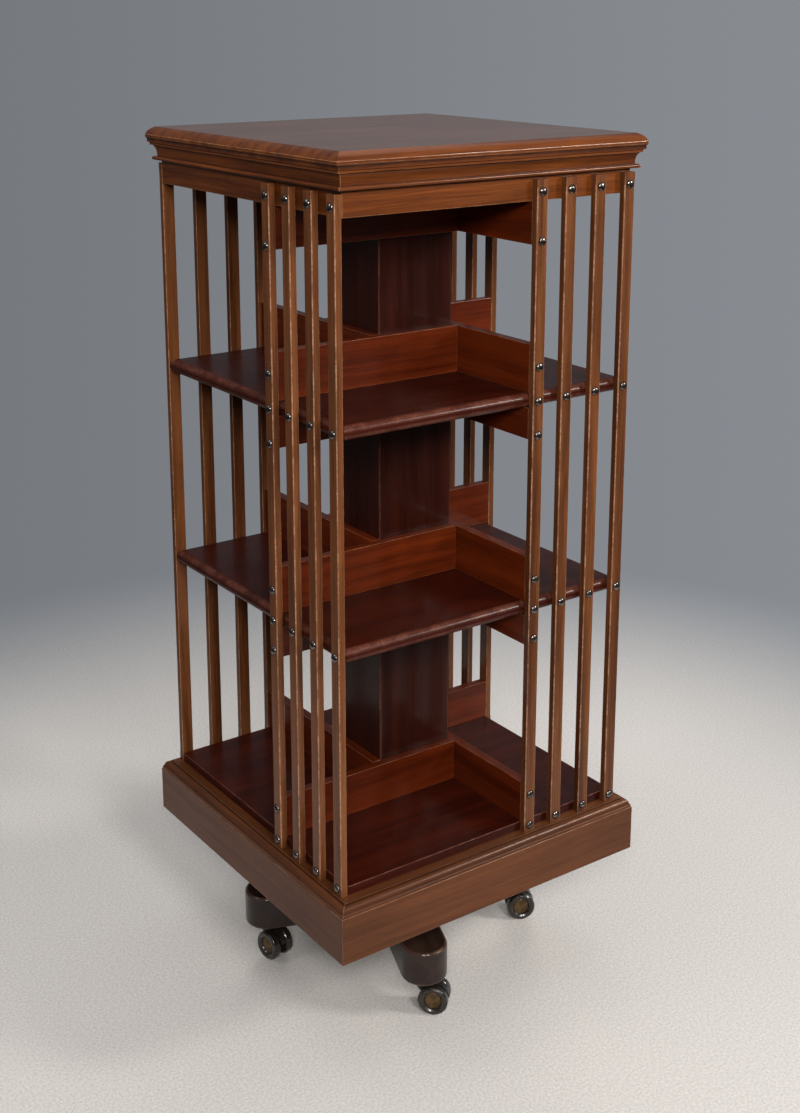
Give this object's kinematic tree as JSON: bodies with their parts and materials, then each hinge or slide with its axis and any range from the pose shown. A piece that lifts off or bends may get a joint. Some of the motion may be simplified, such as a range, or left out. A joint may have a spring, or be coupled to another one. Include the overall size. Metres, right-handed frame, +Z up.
{
  "type": "revolving bookcase",
  "caption": "Square revolving bookcase: slatted mahogany tiers with open book bays, turning on a post above a cross base with twin-wheel castors.",
  "frame": {"origin": "on the floor, on the vertical turning axis, at the centre of the footprint", "axes": "+Z up along the turning axis; -Y out of the front face, +X to its right"},
  "size_m": [0.5196, 0.5196, 1.2532],
  "materials": {
    "top_mahogany": "French-polished mahogany, warm mid brown, glossy with light wear on the edges",
    "shelf_mahogany": "polished dark red-brown mahogany",
    "rail_mahogany": "polished red-brown mahogany",
    "slat_mahogany": "polished mahogany, long grain, chamfered edges",
    "plinth_mahogany": "satin polished mahogany",
    "column_mahogany": "polished dark red-brown mahogany",
    "cross_wood": "ebonised hardwood, glossy near-black brown",
    "post_wood": "plain turned hardwood, waxed",
    "iron": "dark japanned iron",
    "steel": "polished steel, darkened with age",
    "brass": "aged brass",
    "castor_hood": "glossy black moulded nylon",
    "castor_wheel": "glossy dark brown nylon tyre with a bronze hub disc"
  },
  "bodies": {
    "base": {"cross_arm_long": "cross_wood", "cross_arm_short": "cross_wood", "post_flange": "iron", "post": "post_wood", "pivot_pin": "steel"},
    "carcass": {"top_board": "top_mahogany", "cornice": "top_mahogany", "frieze": "top_mahogany", "sub_top": "shelf_mahogany", "upper_shelf": "shelf_mahogany", "middle_shelf": "shelf_mahogany", "bottom_shelf": "shelf_mahogany", "base_moulding": "plinth_mahogany", "column": "column_mahogany", "pivot_cup": "brass", "guide_collar": "brass", "plinth_front": "plinth_mahogany", "plinth_right": "plinth_mahogany", "plinth_back": "plinth_mahogany", "plinth_left": "plinth_mahogany", "book_stop_rails_upper": "rail_mahogany", "hanging_rails_upper": "rail_mahogany", "book_stop_rails_middle": "rail_mahogany", "hanging_rails_middle": "rail_mahogany", "book_stop_rails_lower": "rail_mahogany", "hanging_rails_lower": "rail_mahogany", "slat_front_1": "slat_mahogany", "slat_front_2": "slat_mahogany", "slat_front_3": "slat_mahogany", "slat_front_4": "slat_mahogany", "slat_right_1": "slat_mahogany", "slat_right_2": "slat_mahogany", "slat_right_3": "slat_mahogany", "slat_right_4": "slat_mahogany", "slat_back_1": "slat_mahogany", "slat_back_2": "slat_mahogany", "slat_back_3": "slat_mahogany", "slat_back_4": "slat_mahogany", "slat_left_1": "slat_mahogany", "slat_left_2": "slat_mahogany", "slat_left_3": "slat_mahogany", "slat_left_4": "slat_mahogany"},
    "castor_front": {"castor_front_hood": "castor_hood", "castor_front_axle": "steel"},
    "castor_front_wheel_outer": {"castor_front_wheel_outer": "castor_wheel"},
    "castor_front_wheel_inner": {"castor_front_wheel_inner": "castor_wheel"},
    "castor_right": {"castor_right_hood": "castor_hood", "castor_right_axle": "steel"},
    "castor_right_wheel_outer": {"castor_right_wheel_outer": "castor_wheel"},
    "castor_right_wheel_inner": {"castor_right_wheel_inner": "castor_wheel"},
    "castor_back": {"castor_back_hood": "castor_hood", "castor_back_axle": "steel"},
    "castor_back_wheel_outer": {"castor_back_wheel_outer": "castor_wheel"},
    "castor_back_wheel_inner": {"castor_back_wheel_inner": "castor_wheel"},
    "castor_left": {"castor_left_hood": "castor_hood", "castor_left_axle": "steel"},
    "castor_left_wheel_outer": {"castor_left_wheel_outer": "castor_wheel"},
    "castor_left_wheel_inner": {"castor_left_wheel_inner": "castor_wheel"}
  },
  "joints": [
    {"name": "carcass_turn", "type": "hinge", "parent": "base", "child": "carcass", "pos_m": [0, 0, 0.183], "axis": [0, 0, 1], "continuous": true},
    {"name": "castor_front_swivel", "type": "hinge", "parent": "base", "child": "castor_front", "pos_m": [-0.07006, -0.18251, 0.055], "axis": [0, 0, 1], "continuous": true},
    {"name": "castor_front_roll_outer", "type": "hinge", "parent": "castor_front", "child": "castor_front_wheel_outer", "pos_m": [-0.05899, -0.19406, 0.022], "axis": [0.7218, 0.6921, 0], "continuous": true},
    {"name": "castor_front_roll_inner", "type": "hinge", "parent": "castor_front", "child": "castor_front_wheel_inner", "pos_m": [-0.05899, -0.19406, 0.022], "axis": [0.7218, 0.6921, 0], "continuous": true},
    {"name": "castor_right_swivel", "type": "hinge", "parent": "base", "child": "castor_right", "pos_m": [0.18251, -0.07006, 0.055], "axis": [0, 0, 1], "continuous": true},
    {"name": "castor_right_roll_outer", "type": "hinge", "parent": "castor_right", "child": "castor_right_wheel_outer", "pos_m": [0.19654, -0.07777, 0.022], "axis": [0.4818, 0.8763, 0], "continuous": true},
    {"name": "castor_right_roll_inner", "type": "hinge", "parent": "castor_right", "child": "castor_right_wheel_inner", "pos_m": [0.19654, -0.07777, 0.022], "axis": [0.4818, 0.8763, 0], "continuous": true},
    {"name": "castor_back_swivel", "type": "hinge", "parent": "base", "child": "castor_back", "pos_m": [0.07006, 0.18251, 0.055], "axis": [0, 0, 1], "continuous": true},
    {"name": "castor_back_roll_outer", "type": "hinge", "parent": "castor_back", "child": "castor_back_wheel_outer", "pos_m": [0.07682, 0.16801, 0.022], "axis": [0.9063, 0.4226, 0], "continuous": true},
    {"name": "castor_back_roll_inner", "type": "hinge", "parent": "castor_back", "child": "castor_back_wheel_inner", "pos_m": [0.07682, 0.16801, 0.022], "axis": [0.9063, 0.4226, 0], "continuous": true},
    {"name": "castor_left_swivel", "type": "hinge", "parent": "base", "child": "castor_left", "pos_m": [-0.18251, 0.07006, 0.055], "axis": [0, 0, 1], "continuous": true},
    {"name": "castor_left_roll_outer", "type": "hinge", "parent": "castor_left", "child": "castor_left_wheel_outer", "pos_m": [-0.1799, 0.05428, 0.022], "axis": [0.9866, 0.1633, 0], "continuous": true},
    {"name": "castor_left_roll_inner", "type": "hinge", "parent": "castor_left", "child": "castor_left_wheel_inner", "pos_m": [-0.1799, 0.05428, 0.022], "axis": [0.9866, 0.1633, 0], "continuous": true}
  ]
}
